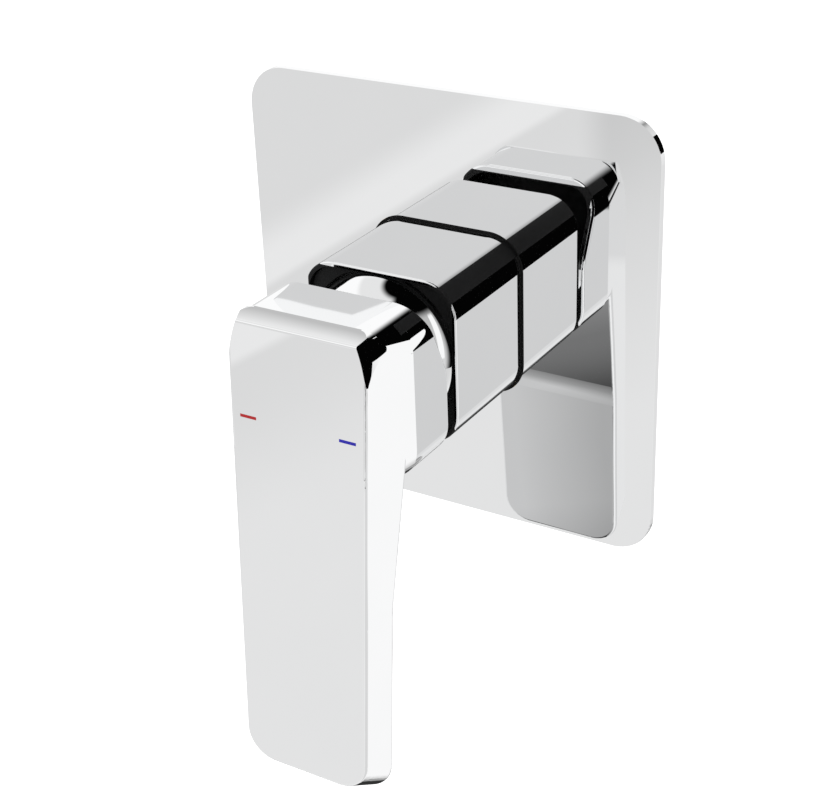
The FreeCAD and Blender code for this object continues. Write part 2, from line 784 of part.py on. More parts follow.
# In-wall body: one brass forging with a bored neck, a barrel, four port bosses and a rear fixing flange
def make_valve_body():
    neck = rod_y(neck_radius, -neck_front_reach, barrel_front_depth)
    barrel = rod_y(barrel_radius, barrel_front_depth, barrel_rear_depth)
    front_rim = edges_where(barrel, lambda p: near(p.y, barrel_front_depth))
    barrel = barrel.makeFillet(barrel_edge_round, front_rim)
    flange = slab(rounded_square(flange_side, flange_corner_radius), barrel_rear_depth - flange_thickness,
                  barrel_rear_depth)
    bosses = [rod(boss_radius, along_port(direction, 0), along_port(direction, boss_reach))
              for direction in port_directions().values()]
    body = neck.fuse([barrel, flange] + bosses)
    body = body.cut(rod_y(neck_bore_radius, -neck_front_reach - overrun, seat_depth))
    body = body.cut(rod_y(nut_thread_radius + seat_clearance, -neck_front_reach - overrun, shoulder_y))
    for direction in port_directions().values():
        body = body.cut(rod(nipple_shank_radius + seat_clearance,
                            along_port(direction, boss_reach - socket_depth),
                            along_port(direction, boss_reach + overrun)))
    for side in (-X_AXIS, X_AXIS):
        body = body.cut(rod(passage_radius, along_port(side, inlet_port_x), along_port(side, boss_reach)))
    outlet = rod(passage_radius, along_port(Z_AXIS, outlet_passage_end), along_port(Z_AXIS, boss_reach))
    body = body.cut(outlet)
    body = with_ports(body, seat_depth - overrun, port_axis_depth, port_radius)
    spread = fixing_spacing / 2
    for x in (-spread, spread):
        for z in (-spread, spread):
            body = body.cut(rod_y(fixing_hole_radius, barrel_rear_depth - flange_thickness - overrun,
                                  barrel_rear_depth + overrun, x, z))
    groove_inner = inner_half - 2 * ring_section_radius - 2 * seat_clearance
    groove_half = ring_section_radius + seat_clearance
    for i in range(2):
        body = body.cut(tube_y(neck_radius + overrun, groove_inner,
                               ring_y(i) - groove_half, ring_y(i) + groove_half))
    return body


def fitting(direction):
    """Shank and hexagon that every fitting screwed into a boss has."""
    seat = boss_reach + washer_thickness
    shank = rod(nipple_shank_radius, along_port(direction, boss_reach - nipple_shank_length),
                along_port(direction, seat))
    return shank.fuse(hexagon_rod(nipple_hex_across, along_port(direction, seat),
                                  along_port(direction, seat + nipple_hex_length)))


# Nipple: brass connector with a threaded spigot for the supply or shower pipe
def make_nipple(direction):
    hex_end = boss_reach + washer_thickness + nipple_hex_length
    tip = hex_end + nipple_thread_length
    spigot = rod(nipple_thread_radius, along_port(direction, hex_end), along_port(direction, tip))
    rim = edges_where(spigot, lambda p: near((p - along_port(direction, tip)).dot(direction), 0))
    nipple = fitting(direction).fuse(spigot.makeChamfer(nipple_lead_in, rim))
    return nipple.cut(rod(nipple_bore_radius, along_port(direction, 0), along_port(direction, tip + overrun)))


# Blanking plug: closes the lower outlet, with a socket for a hexagon key
def make_blanking_plug(direction):
    hex_end = boss_reach + washer_thickness + nipple_hex_length
    key = hexagon_rod(plug_key_side, along_port(direction, hex_end - plug_key_depth),
                      along_port(direction, hex_end + overrun))
    return fitting(direction).cut(key)


def washer(direction):
    start = along_port(direction, boss_reach)
    end = along_port(direction, boss_reach + washer_thickness)
    return rod(washer_outer_radius, start, end).cut(rod(nipple_shank_radius + seat_clearance, start, end))


def make_port_washers():
    return Part.makeCompound([washer(d) for d in port_directions().values()])


os.makedirs("parts", exist_ok=True)
save(make_wall_plate(), "wall_plate")
save(make_plate_gasket(), "plate_gasket")
save(make_sleeve_lip(), "sleeve_lip")
save(make_sleeve(), "square_sleeve")
save(make_dome_cover(), "dome_cover")
save(make_handle(), "handle")
save(make_hot_mark(), "hot_mark")
save(make_cold_mark(), "cold_mark")
save(make_grub_screw(), "grub_screw")
save(make_grub_cap(), "grub_screw_cap")
save(make_spindle(), "spindle")
save(make_spindle_insert(), "spindle_insert")
save(make_spindle_pin(), "spindle_pin")
save(make_cartridge_rotor(), "cartridge_rotor")
save(make_stop_ring(), "temperature_stop_ring")
save(make_disc_carrier(), "disc_carrier")
save(make_moving_disc(), "moving_ceramic_disc")
save(make_fixed_disc(), "fixed_ceramic_disc")
save(make_cartridge_housing(), "cartridge_housing")
save(make_cartridge_base(), "cartridge_base")
save(make_port_seals(), "port_seals")
save(make_cartridge_nut(), "cartridge_nut")
save(make_neck_rings(), "neck_o_rings")
save(make_valve_body(), "valve_body")
directions = port_directions()
save(make_nipple(directions["hot"]), "hot_inlet_nipple")
save(make_nipple(directions["cold"]), "cold_inlet_nipple")
save(make_nipple(directions["outlet"]), "outlet_nipple")
save(make_blanking_plug(directions["blank"]), "blanking_plug")
save(make_port_washers(), "port_washers")
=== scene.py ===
import math

import bpy
from mathutils import Matrix, Vector


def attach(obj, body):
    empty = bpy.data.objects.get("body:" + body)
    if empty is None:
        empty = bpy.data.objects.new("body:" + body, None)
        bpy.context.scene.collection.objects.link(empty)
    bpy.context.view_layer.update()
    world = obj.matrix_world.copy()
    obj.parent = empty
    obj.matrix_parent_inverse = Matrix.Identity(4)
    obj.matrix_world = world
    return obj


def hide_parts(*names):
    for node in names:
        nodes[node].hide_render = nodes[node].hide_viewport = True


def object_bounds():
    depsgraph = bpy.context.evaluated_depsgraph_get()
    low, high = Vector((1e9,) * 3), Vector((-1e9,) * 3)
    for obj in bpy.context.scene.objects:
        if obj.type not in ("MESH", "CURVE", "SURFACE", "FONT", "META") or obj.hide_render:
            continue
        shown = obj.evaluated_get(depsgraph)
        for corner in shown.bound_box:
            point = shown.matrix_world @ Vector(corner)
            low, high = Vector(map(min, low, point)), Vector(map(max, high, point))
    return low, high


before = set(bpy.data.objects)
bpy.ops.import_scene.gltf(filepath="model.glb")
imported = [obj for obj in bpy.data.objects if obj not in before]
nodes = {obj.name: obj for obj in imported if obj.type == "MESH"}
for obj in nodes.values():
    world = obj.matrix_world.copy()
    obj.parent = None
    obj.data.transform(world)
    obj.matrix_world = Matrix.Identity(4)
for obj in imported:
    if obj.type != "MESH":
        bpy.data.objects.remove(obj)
cad_box = [list(corner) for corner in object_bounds()]


# Valve body: the heart of the mixer, hidden in the wall. It is a hot forging of brass, shot-blasted to a
# dull skin, with its neck turned bright afterwards.
class Tone:
    """One output of a shader node. Sums and products of tones add Math nodes to the same tree."""

    def __init__(self, tree, socket=None):
        self.tree = tree
        self.socket = socket

    def node(self, kind, sockets, output=0, **settings):
        """Adds a node: its settings first, then the values or links of its sockets."""
        made = self.tree.nodes.new("ShaderNode" + kind)
        for name, value in settings.items():
            setattr(made, name, value)
        for name, value in sockets.items():
            if isinstance(value, Tone):
                self.tree.links.new(value.socket, made.inputs[name])
            else:
                made.inputs[name].default_value = value
        return Tone(self.tree, made.outputs[output])

    def sum(self, operation, *values):
        """One Math node."""
        return self.node("Math", dict(enumerate(values)), operation=operation)

    def __add__(self, other):
        return self.sum("ADD", self, other)

    def __sub__(self, other):
        return self.sum("SUBTRACT", self, other)

    def __rsub__(self, other):
        return self.sum("SUBTRACT", other, self)

    def __mul__(self, other):
        return self.sum("MULTIPLY", self, other)

    def __truediv__(self, other):
        return self.sum("DIVIDE", self, other)

    def __gt__(self, other):
        return self.sum("GREATER_THAN", self, other)

    def __abs__(self):
        return self.sum("ABSOLUTE", self)

    __radd__ = __add__
    __rmul__ = __mul__

    def largest(self, *others):
        """The largest of this tone and some others."""
        result = self
        for other in others:
            result = self.sum("MAXIMUM", result, other)
        return result

    def side(self):
        """1 where this is over 0, and -1 elsewhere."""
        return 2 * (self > 0) - 1

    def place(self):
        """Where a point of the piece is, in metres."""
        return self.node("TexCoord", {}, "Object")

    def axes(self):
        """The x, y and z of a place or a direction."""
        return [self.node("SeparateXYZ", {"Vector": self}, axis) for axis in "XYZ"]

    def noise(self, place, size, detail=3.0):
        """Cloudy pattern from 0 to 1 whose lumps are about as large as size, in metres."""
        return self.node("TexNoise", {"Vector": place, "Scale": 1 / size, "Detail": detail})

    def between(self, share, first, second):
        """Colour mixed from two others."""
        ends = [colour if isinstance(colour, Tone) else (*colour, 1) for colour in (first, second)]
        return self.node("Mix", {0: share, 6: ends[0], 7: ends[1]}, 2, data_type="RGBA")

    def ramp(self, low, high, soft=True):
        """0 below low and 1 above high."""
        limits = {"Value": self, "From Min": low, "From Max": high}
        return self.node("MapRange", limits, interpolation_type="SMOOTHSTEP" if soft else "LINEAR")

    def inside(self, low, high, edge):
        """1 between low and high, falling to 0 over an edge at both."""
        return self.ramp(low - edge, low + edge) * (1 - self.ramp(high - edge, high + edge))

    def relief(self, depth, **base):
        """Small bumps on the face or on a base Normal: light places stand out by depth, in metres."""
        return self.node("Bump", {"Height": self, "Distance": depth, **base})


def make_finish(name, plain, paint):
    """Material with plain values on the shader's sockets, and what paint returns linked to the others."""
    finish = bpy.data.materials.new(name)
    finish.use_nodes = True
    shader = finish.node_tree.nodes["Principled BSDF"]
    for socket, value in plain.items():
        shader.inputs[socket].default_value = value
    for socket, tone in paint(Tone(finish.node_tree)).items():
        finish.node_tree.links.new(tone.socket, shader.inputs[socket])
    return finish


def dress(finish, *names):
    """Gives CAD nodes their finish."""
    for name in names:
        slots = nodes[name].data.materials
        slots.clear()
        slots.append(finish)


neck_rear = 0.0055
turning_fade = 0.0002


def forged_brass(start):
    place = start.place()
    depth = place.axes()[1]
    blast = start.noise(place, size=0.0007, detail=4.0)
    stain = start.noise(place, size=0.018)
    turned = 1 - depth.ramp(neck_rear - turning_fade, neck_rear, soft=False)
    tooling = {"Vector": place, "Scale": 900.0, "Distortion": 0.4}
    lines = start.node("TexWave", tooling, 1, bands_direction="Y")
    colour = start.between(stain, (0.62, 0.43, 0.17), (0.78, 0.58, 0.28))
    rough = 0.46 - 0.22 * turned + 0.1 * blast
    height = (1 - turned) * blast + 0.25 * turned * lines
    return {"Base Color": colour, "Roughness": rough, "Normal": height.relief(depth=0.00012)}


dress(make_finish("forged brass", {"Metallic": 1.0}, forged_brass), "valve_body")


# Blanking plug: a brass plug with a hexagon and a key socket, which closes the outlet that nobody uses. It
# is turned from bar, so fine tool lines run round it.
def turned_brass(axis):
    """Brass turned about an axis, X, Y or Z."""
    def paint(start):
        place = start.place()
        tooling = {"Vector": place, "Scale": 700.0, "Distortion": 1.5, "Detail": 2.0}
        lines = start.node("TexWave", tooling, 1, bands_direction=axis)
        haze = start.noise(place, size=0.006)
        colour = start.between(haze, (0.7, 0.5, 0.21), (0.84, 0.63, 0.31))
        return {"Base Color": colour, "Roughness": 0.2 + 0.12 * haze, "Normal": lines.relief(depth=0.00002)}
    return make_finish("turned brass " + axis.lower(), {"Metallic": 1.0}, paint)


brass_upright = turned_brass("Z")
brass_across = turned_brass("X")
dress(brass_upright, "blanking_plug")


# Nipples: brass connectors for the hot, cold and shower pipes, turned from hexagon bar and screwed into the
# bosses. Their spigots carry a half-inch pipe thread, which runs out before the hexagon.
def ring_tube(name, rings, count):
    """Closed tube on the outlet's axis through rings of (radius, height), made by extruding a circle."""
    bpy.ops.object.select_all(action="DESELECT")
    radius, height = rings[0]
    bpy.ops.mesh.primitive_circle_add(vertices=count, radius=radius, location=(0, port_depth, height))
    bpy.ops.object.mode_set(mode="EDIT")
    for next_radius, next_height in rings[1:] + rings[:1]:
        bpy.ops.mesh.extrude_region_move(TRANSFORM_OT_translate={"value": (0, 0, next_height - height)})
        factor = next_radius / radius
        bpy.ops.transform.resize(value=(factor, factor, 1), center_override=(0, port_depth, next_height))
        radius, height = next_radius, next_height
    bpy.ops.mesh.select_all(action="SELECT")
    bpy.ops.mesh.remove_doubles(threshold=1e-6)
    bpy.ops.mesh.normals_make_consistent(inside=False)
    bpy.ops.object.mode_set(mode="OBJECT")
    bpy.context.object.name = name
    return bpy.context.object


port_depth = 0.017
bore = 0.006
shank = 0.0083
shank_start = 0.0163
seat = 0.0258
hexagon_end = 0.0298
tip = 0.0428
hexagon_flats = 0.024
hexagon_corner = hexagon_flats / math.sqrt(3)
hexagon_break = 0.0004
thread_crest = 0.01048
thread_root = 0.00932
pitch = 0.001814
thread_turns = 6
thread_start = pitch * 0.75
ridge_foot = pitch * 0.92
ridge_crest_share = 0.16
ridge_sink = 0.0004
lead_in = 0.001
bore_break = 0.0004
wall_middle = 0.0076
round_steps = 64
thread_steps = 56

core = ring_tube("nipple_core", [
    (bore, shank_start), (shank, shank_start), (shank, hexagon_end), (thread_root, hexagon_end),
    (thread_root, tip - lead_in / 2), (thread_root - lead_in / 2, tip), (bore + bore_break, tip),
    (bore, tip - bore_break)], round_steps)
hexagon = ring_tube("nipple_hexagon", [
    (wall_middle, seat), (hexagon_corner, seat),
    (hexagon_corner, hexagon_end), (wall_middle, hexagon_end)], 6)
bevel = hexagon.modifiers.new("broken edges", "BEVEL")
bevel.width = hexagon_break
bevel.segments = 2
bevel.limit_method = "ANGLE"
bpy.ops.object.modifier_apply(modifier=bevel.name)

bpy.ops.object.select_all(action="DESELECT")
ridge_depth = thread_crest - thread_root + ridge_sink
ridge_middle = thread_crest - ridge_depth / 2
bpy.ops.mesh.primitive_plane_add(size=1, location=(ridge_middle, 0, 0), rotation=(math.pi / 2, 0, 0))
ridge = bpy.context.object
ridge.scale = (ridge_depth, ridge_foot, 1)
bpy.ops.object.transform_apply(location=True, rotation=True, scale=True)
bpy.ops.object.mode_set(mode="EDIT")
bpy.ops.mesh.delete(type="ONLY_FACE")
bpy.ops.mesh.select_all(action="DESELECT")
bpy.ops.object.mode_set(mode="OBJECT")
for vertex in ridge.data.vertices:
    vertex.select = vertex.co.x > ridge_middle
bpy.ops.object.mode_set(mode="EDIT")
bpy.ops.transform.resize(value=(1, 1, ridge_crest_share), center_override=(thread_crest, 0, 0))
bpy.ops.object.mode_set(mode="OBJECT")
screw = ridge.modifiers.new("thread", "SCREW")
screw.axis = "Z"
screw.screw_offset = pitch
screw.iterations = thread_turns
screw.steps = screw.render_steps = thread_steps
bpy.ops.object.modifier_apply(modifier=screw.name)
ridge.location = (0, port_depth, hexagon_end + thread_start)
bpy.ops.object.transform_apply(location=True, rotation=True, scale=True)
bpy.ops.object.mode_set(mode="EDIT")
bpy.ops.mesh.select_all(action="SELECT")
bpy.ops.mesh.remove_doubles(threshold=1e-7)
bpy.ops.mesh.fill_holes(sides=4)
bpy.ops.mesh.select_all(action="SELECT")
bpy.ops.mesh.normals_make_consistent(inside=False)
bpy.ops.object.mode_set(mode="OBJECT")

bpy.ops.object.select_all(action="DESELECT")
for piece in (hexagon, ridge, core):
    piece.select_set(True)
bpy.context.view_layer.objects.active = core
bpy.ops.object.join()
bpy.ops.object.transform_apply(location=True, rotation=True, scale=True)
bpy.ops.object.shade_smooth_by_angle(angle=math.radians(30))
outlet_nipple = core


def screw_in(nipple, name, node, finish):
    """Names a finished nipple and puts it in the place of its CAD node."""
    nipple.name = name
    nipple.data.materials.clear()
    nipple.data.materials.append(finish)
    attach(nipple, "fixed_body")
    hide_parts(node)


def turned_copy(nipple, angle):
    """Copy of the outlet's nipple, turned about the valve axis to another port."""
    copy = bpy.data.objects.new("nipple", nipple.data.copy())
    bpy.context.scene.collection.objects.link(copy)
    bpy.ops.object.select_all(action="DESELECT")
    copy.select_set(True)
    bpy.context.view_layer.objects.active = copy
    copy.rotation_euler = (0, angle, 0)
    bpy.ops.object.transform_apply(location=True, rotation=True, scale=True)
    return copy


screw_in(turned_copy(outlet_nipple, -math.pi / 2), "threaded_hot_nipple", "hot_inlet_nipple", brass_across)
screw_in(turned_copy(outlet_nipple, math.pi / 2), "threaded_cold_nipple", "cold_inlet_nipple", brass_across)
screw_in(outlet_nipple, "threaded_outlet_nipple", "outlet_nipple", brass_upright)


# Port washers: flat rings punched from red fibre sheet, squeezed between each boss and its hexagon. The
# pressed fibres show as short dark and light flecks.
def red_fibre(start):
    place = start.place()
    fibres = {"Vector": place, "Scale": 2600.0, "Detail": 5.0, "Roughness": 0.7}
    flecks = start.node("TexNoise", fibres)
    colour = start.between(flecks.ramp(0.35, 0.7), (0.24, 0.035, 0.02), (0.5, 0.13, 0.08))
    return {"Base Color": colour, "Roughness": 0.7 + 0.2 * flecks, "Normal": flecks.relief(depth=0.00005)}


dress(make_finish("red fibre", {}, red_fibre), "port_washers")


# Cartridge housing, base, rotor, carrier, stop ring and spindle insert: injection-moulded plastics with a
# fine spark-eroded grain, in colours that tell the pieces apart at assembly. They push and clip together.
def moulded(name, dark, light):
    """Plastic whose colour flows between a dark and a light shade."""
    def paint(start):
        place = start.place()
        skin = start.noise(place, size=0.0003, detail=2.0)
        flow = start.noise(place, size=0.012)
        return {"Base Color": start.between(flow, dark, light), "Roughness": 0.42 + 0.16 * skin,
                "Normal": skin.relief(depth=0.00001)}
    return make_finish(name, {"Specular IOR Level": 0.4}, paint)


dress(moulded("grey acetal", (0.36, 0.38, 0.4), (0.46, 0.48, 0.5)), "cartridge_housing", "cartridge_base")
dress(moulded("white acetal", (0.78, 0.78, 0.75), (0.88, 0.88, 0.86)), "cartridge_rotor", "disc_carrier",
      "spindle_insert")
dress(moulded("orange acetal", (0.72, 0.22, 0.03), (0.86, 0.31, 0.06)), "temperature_stop_ring")


# Ceramic discs: two lapped alumina discs that slide on each other and meter the water. They are off-white,
# with faint grey specks and a near-mirror face.
def alumina(start):
    place = start.place()
    specks = start.noise(place, size=0.0006, detail=2.0).ramp(0.62, 0.72)
    return {"Base Color": start.between(specks, (0.9, 0.89, 0.86), (0.74, 0.73, 0.71)),
            "Roughness": 0.12 + 0.2 * specks}


dress(make_finish("alumina", {}, alumina), "fixed_ceramic_disc", "moving_ceramic_disc")


# Port seals and neck rings: moulded black rubber. The seals sit under the cartridge, and the two rings grip
# the inside of the sleeve.
def rubber(start):
    place = start.place()
    skin = start.noise(place, size=0.0004)
    bloom = start.noise(place, size=0.009)
    return {"Base Color": start.between(bloom, (0.004, 0.004, 0.004), (0.01, 0.01, 0.01)),
            "Roughness": 0.5 + 0.25 * skin, "Normal": skin.relief(depth=0.00002)}


black_rubber = make_finish("black rubber", {"Specular IOR Level": 0.2}, rubber)
dress(black_rubber, "port_seals", "neck_o_rings")


# Cartridge nut: a brass ring turned from bar, with notches for a key. It is screwed into the neck and
# presses the cartridge on its seat.
dress(turned_brass("Y"), "cartridge_nut")


# Spindle, hinge pin and grub screw: turned and ground stainless steel. The spindle carries the handle,
# tilts on the pin and drives the disc carrier with the ball on its end.
def ground_steel(start):
    drawn_out = start.node("Mapping", {"Vector": start.place(), "Scale": (9, 1, 9)})
    lines = start.noise(drawn_out, size=0.002)
    return {"Base Color": start.between(lines, (0.5, 0.5, 0.51), (0.66, 0.66, 0.67)),
            "Roughness": 0.18 + 0.2 * lines, "Normal": lines.relief(depth=0.00001)}


dress(make_finish("ground steel", {"Metallic": 1.0}, ground_steel), "spindle", "spindle_pin", "grub_screw")


# Plate gasket: a flat ring of grey closed-cell foam, glued behind the plate's edge to seal it to the tiles.
# Its cut faces show small open cells.
def foam(start):
    place = start.place()
    cells = start.node("TexVoronoi", {"Vector": place, "Scale": 1700.0}, feature="F1")
    pores = cells.ramp(0.15, 0.6)
    return {"Base Color": start.between(pores, (0.12, 0.12, 0.125), (0.31, 0.31, 0.32)),
            "Roughness": 0.85 + 0.1 * pores, "Normal": pores.relief(depth=0.0003)}


dress(make_finish("grey foam", {}, foam), "plate_gasket")


# Wall plate and screw cap: brass, polished, nickelled and chromed to a bright mirror. A faint wipe haze and
# the slightest waviness of polishing keep the mirror from being perfect.
rim_rear = -0.00165
face_lean_limit = -0.5


def chrome_plating(start, **base):
    place = start.place()
    haze = start.noise(place, size=0.03, detail=4.0)
    wave = start.noise(place, size=0.02, detail=0.0)
    return {"Base Color": start.between(haze, (0.92, 0.925, 0.93), (0.95, 0.952, 0.955)),
            "Roughness": 0.004 + 0.014 * haze, "Normal": wave.relief(depth=0.00001, **base)}


def facing(start, x, y, z):
    """Base Normal that faces along x, y and z."""
    direction = start.node("CombineXYZ", {"X": x, "Y": y, "Z": z})
    return {"Normal": start.node("VectorMath", {0: direction}, operation="NORMALIZE")}


def crisp_edged_plating(start):
    """Chrome whose front rim looks like one crisp edge: its rounding shines as the face or side does."""
    x, y, z = start.node("NewGeometry", {}, "Normal").axes()
    rim = 1 - (start.place().axes()[1] > rim_rear)
    face = rim * (1 - (y > face_lean_limit))
    return chrome_plating(start, **facing(start, x * (1 - face), y * (1 - rim) - face, z * (1 - face)))


dress(make_finish("chrome plating", {"Metallic": 1.0}, chrome_plating), "grub_screw_cap")
dress(make_finish("crisp chrome plating", {"Metallic": 1.0}, crisp_edged_plating), "wall_plate")


# Sleeve, dome and handle: a square brass tube over the neck, a pressed ball zone in its mouth and one zinc
# casting. All are chromed where they show. Where the plating doesn't reach, the metal is dull, and its
# near-black colour is painted shade that stands for the shadowed gaps between them.
sleeve_bare_half = 0.0209
hub_bare_half = 0.0203
hub_bare_front = -0.0584
ball_middle = -0.025
ball_radius = 0.0235
ball_error = 0.0004
corner_error = 0.00012
shoulder_error = 0.00006
tube_lean_limit = 0.3
hub_lean_limit = 0.5

half_side = 0.022
corner_radius = 0.009
corner_middle = half_side - corner_radius
draw_reach = 0.056
brow_reach = 0.0667
face_reach = 0.0722
face_top = 0.0202
face_corner_radius = 0.0035
face_lean = math.tan(math.radians(4))
draft = math.tan(math.radians(8.5))
tightening = (corner_radius - face_corner_radius) / (face_reach - draw_reach)

shoulder_radius = 0.038
shoulder_turn = math.radians(26.3)
shoulder_height = 0.006
shoulder_foot = 0.0104
shoulder_rear = -0.0647
shoulder_edge_reach = face_reach + (face_top - shoulder_height) * face_lean
shoulder_edge = half_side - (shoulder_edge_reach - draw_reach) * draft
shoulder_middle_x = shoulder_edge - shoulder_radius * math.cos(shoulder_turn)
shoulder_middle_y = shoulder_radius * math.sin(shoulder_turn) - shoulder_edge_reach


def part_chromed(name, shaded_bare_places, shape):
    """Chrome plating on a shape, with dull metal in its bare places, painted near black as painted shade.
    """
    def paint(start):
        bright = chrome_plating(start, **shape(start))
        place = start.place()
        bare = shaded_bare_places(place)
        grain = start.noise(place, size=0.0008)
        # The dull colour is near black: painted shade for the dark gaps around the hub, not the tone of
        # bare metal.
        shaded_dull = start.between(grain, (0.006, 0.006, 0.006), (0.016, 0.016, 0.017))
        return {"Base Color": start.between(bare, bright["Base Color"], shaded_dull), "Normal": bright["Normal"],
                "Roughness": bright["Roughness"] + bare * (0.5 + 0.2 * grain), "Metallic": 1 - 0.7 * bare}
    return make_finish(name, {"Specular IOR Level": 0.3}, paint)


def within_walls(bare_half, front=None):
    """Bare places inside a square tube's walls, behind its closed front if it has one; they are painted
    dark as painted shade.
    """
    def shaded_bare_places(place):
        x, y, z = place.axes()
        bare = (1 - (abs(x) > bare_half)) * (1 - (abs(z) > bare_half))
        return bare if front is None else bare * (y > front)
    return shaded_bare_places


def off_the_ball(place):
    """Everything on the dome but its outer ball."""
    reach = place.node("VectorMath", {0: place, 1: (0, ball_middle, 0)}, 1, operation="DISTANCE")
    return abs(reach - ball_radius) > ball_error


def true_shape(start, *surfaces):
    """The mesh's own normal, or the exact one on each of the surfaces, given as (where, x, y, z)."""
    normal = start.node("NewGeometry", {}, "Normal").axes()
    for where, *exact in surfaces:
        normal = [own + where * (true - own) for own, true in zip(normal, exact)]
    return facing(start, *normal)


def along_axis(start, lean_limit):
    """Faces that run along the valve's axis: their normal leans to it by no more than a limit."""
    return 1 - (abs(start.node("NewGeometry", {}, "Normal").axes()[1]) > lean_limit)


def corner_round(x, z, middle_x, middle_z, radius):
    """How far a point is off a rounded corner along the axis, and the corner's outward x and z there."""
    out_x, out_z = abs(x) - middle_x, abs(z) - middle_z
    reach = x.sum("SQRT", out_x * out_x + out_z * out_z)
    past_flats = (out_x > 0) * (out_z > 0)
    off = abs(reach - radius) + (1 - past_flats)
    return off, x.side() * out_x / reach, z.side() * out_z / reach


def tube_corners(start):
    """The sleeve's four corners."""
    x, _, z = start.place().axes()
    off, out_x, out_z = corner_round(x, z, corner_middle, corner_middle, corner_radius)
    corners = along_axis(start, tube_lean_limit) * (1 - (off > corner_error))
    return true_shape(start, (corners, out_x, 0, out_z))


def ball_zone(start):
    """The dome's outer ball."""
    place = start.place()
    x, y, z = place.axes()
    out = [part / ball_radius for part in (x, y - ball_middle, z)]
    return true_shape(start, (1 - off_the_ball(place), *out))


def casting_corners(start):
    """The hub's corners, which tighten forwards as its sides draw in, and its two ball shoulders."""
    x, y, z = start.place().axes()
    sides = along_axis(start, hub_lean_limit)
    off, out_x, out_z = corner_round(x, z, corner_middle, corner_middle, corner_radius)
    on_hub = y > -draw_reach - (brow_reach - draw_reach) * (z > 0)
    even = sides * on_hub * (1 - (off > corner_error))

    forward = (-draw_reach - y).largest(0)
    drawn_off, drawn_x, drawn_z = corner_round(
        x, z, corner_middle + (tightening - draft) * forward, corner_middle + tightening * forward,
        corner_radius - tightening * forward)
    drawn = sides * (z > 0) * (forward > 0) * (1 - (drawn_off > corner_error)) * (1 - (drawn_off > off))
    drawn_y = (tightening - draft) * abs(drawn_x) + tightening * drawn_z - tightening

    out = (x - shoulder_middle_x * x.side(), y - shoulder_middle_y, z - shoulder_height)
    from_middle = start.node("CombineXYZ", dict(enumerate(out)))
    reach = start.node("VectorMath", {0: from_middle}, 1, operation="LENGTH")
    shoulder = 1 - (abs(reach - shoulder_radius) > shoulder_error)
    shoulder = shoulder * (z > shoulder_foot) * (1 - (y > shoulder_rear))
    return true_shape(start, (even, out_x, 0, out_z), (drawn, drawn_x, drawn_y, drawn_z),
                      (shoulder, *(part / shoulder_radius for part in out)))


# The sleeve's inside, the dome's flange and the handle's hollow are painted dark as painted shade, for the
# shadowed gaps between the parts.
tube_inside = within_walls(sleeve_bare_half)
hub_inside = within_walls(hub_bare_half, hub_bare_front)
dress(part_chromed("chromed tube", tube_inside, tube_corners), "square_sleeve")
dress(part_chromed("chromed pressing", off_the_ball, ball_zone), "dome_cover")
dress(part_chromed("chromed casting", hub_inside, casting_corners), "handle")


# Sleeve lip: a thin black rubber ring between the plate's opening and the sleeve, which keeps water out of
# the wall.
dress(black_rubber, "sleeve_lip")


# Hot and cold marks: two short bars engraved in the lever's face, filled with red and blue enamel and
# rubbed down flush.
def enamel(name, deep, bright):
    """Enamel whose colour runs between a deep and a bright shade."""
    def paint(start):
        fill = start.noise(start.place(), size=0.0008)
        return {"Base Color": start.between(fill, deep, bright), "Roughness": 0.2 + 0.1 * fill}
    return make_finish(name, {"Coat Weight": 0.1, "Specular IOR Level": 0.3}, paint)


dress(enamel("red enamel", (0.36, 0.004, 0.006), (0.48, 0.012, 0.014)), "hot_mark")
dress(enamel("blue enamel", (0.006, 0.004, 0.3), (0.016, 0.01, 0.44)), "cold_mark")


# Studio: a tent of white cloth on the left, in front and on the right, white paper on the table below, and
# a dark room above and between them. Only the chrome sees it so; all else gets an even white light. Bearing
# goes round from 0 degrees in front to 90 on the left, 180 behind the wall and 270 on the right.
dark_room = 0.001
even_light = 0.85


def left_cloth(bearing, rise):
    """Cloth from the front round the left to behind the wall."""
    cloth = 0.75 + 0.05 * (1 - rise.ramp(-30, -17)) - 0.03 * rise.ramp(0, 20)

    # Its lit top starts at a line that falls from the front to behind, steeply to a small step, then gently
    over_steep_line = (rise + 0.74 * bearing).ramp(48.4, 48.6)
    over_step = (rise - 0.282 * bearing).ramp(14.4, 14.44)
    over_gentle_line = (rise + 0.241 * bearing).ramp(32.17, 32.21)
    past_step = bearing.ramp(32.3, 32.7)
    lit_top = over_gentle_line.largest(over_step) * past_step + over_steep_line * (1 - past_step)
    lamp_glow = 1.03 - 0.2 * (1 - bearing.ramp(95, 110)) * rise.ramp(40, 48)
    cloth = cloth + lit_top * (lamp_glow - cloth)

    # High up behind, a dim patch is lighter over a slanting line
    dim_patch = bearing.inside(113, 150, 8) * rise.inside(46, 56, 2)
    slant = (rise - 0.742 * bearing).ramp(-41.75, -41.15, soft=False)
    cloth = cloth + dim_patch * (0.55 + 0.31 * slant - cloth)

    # Low down behind, the cloth lies in shade
    low_patch = bearing.inside(125, 178, 12) * (1 - rise.ramp(-26, -22))
    shade = 0.04 + 0.14 * rise.ramp(-46, -43.5) + 0.42 * rise.ramp(-43.5, -37.5, soft=False)
    shade = shade * (1.05 - 0.3 * bearing.ramp(149.5, 153, soft=False))
    cloth = cloth + low_patch * (shade - cloth)

    # In front it ends further right low down than high up, and has a notch just under eye level
    notch = rise.inside(-19, -13, 1.2) * (1 - bearing.ramp(-4, 2))
    low_end = (bearing + 12 * (1 - rise.ramp(0, 12))).ramp(-15, -9) * (1 - notch)
    high = rise.ramp(12, 24)
    front_end = high * bearing.ramp(-16, 6) + (1 - high) * low_end
    return cloth * front_end * (1 - bearing.ramp(176, 193)) * (1 - rise.ramp(66, 74))


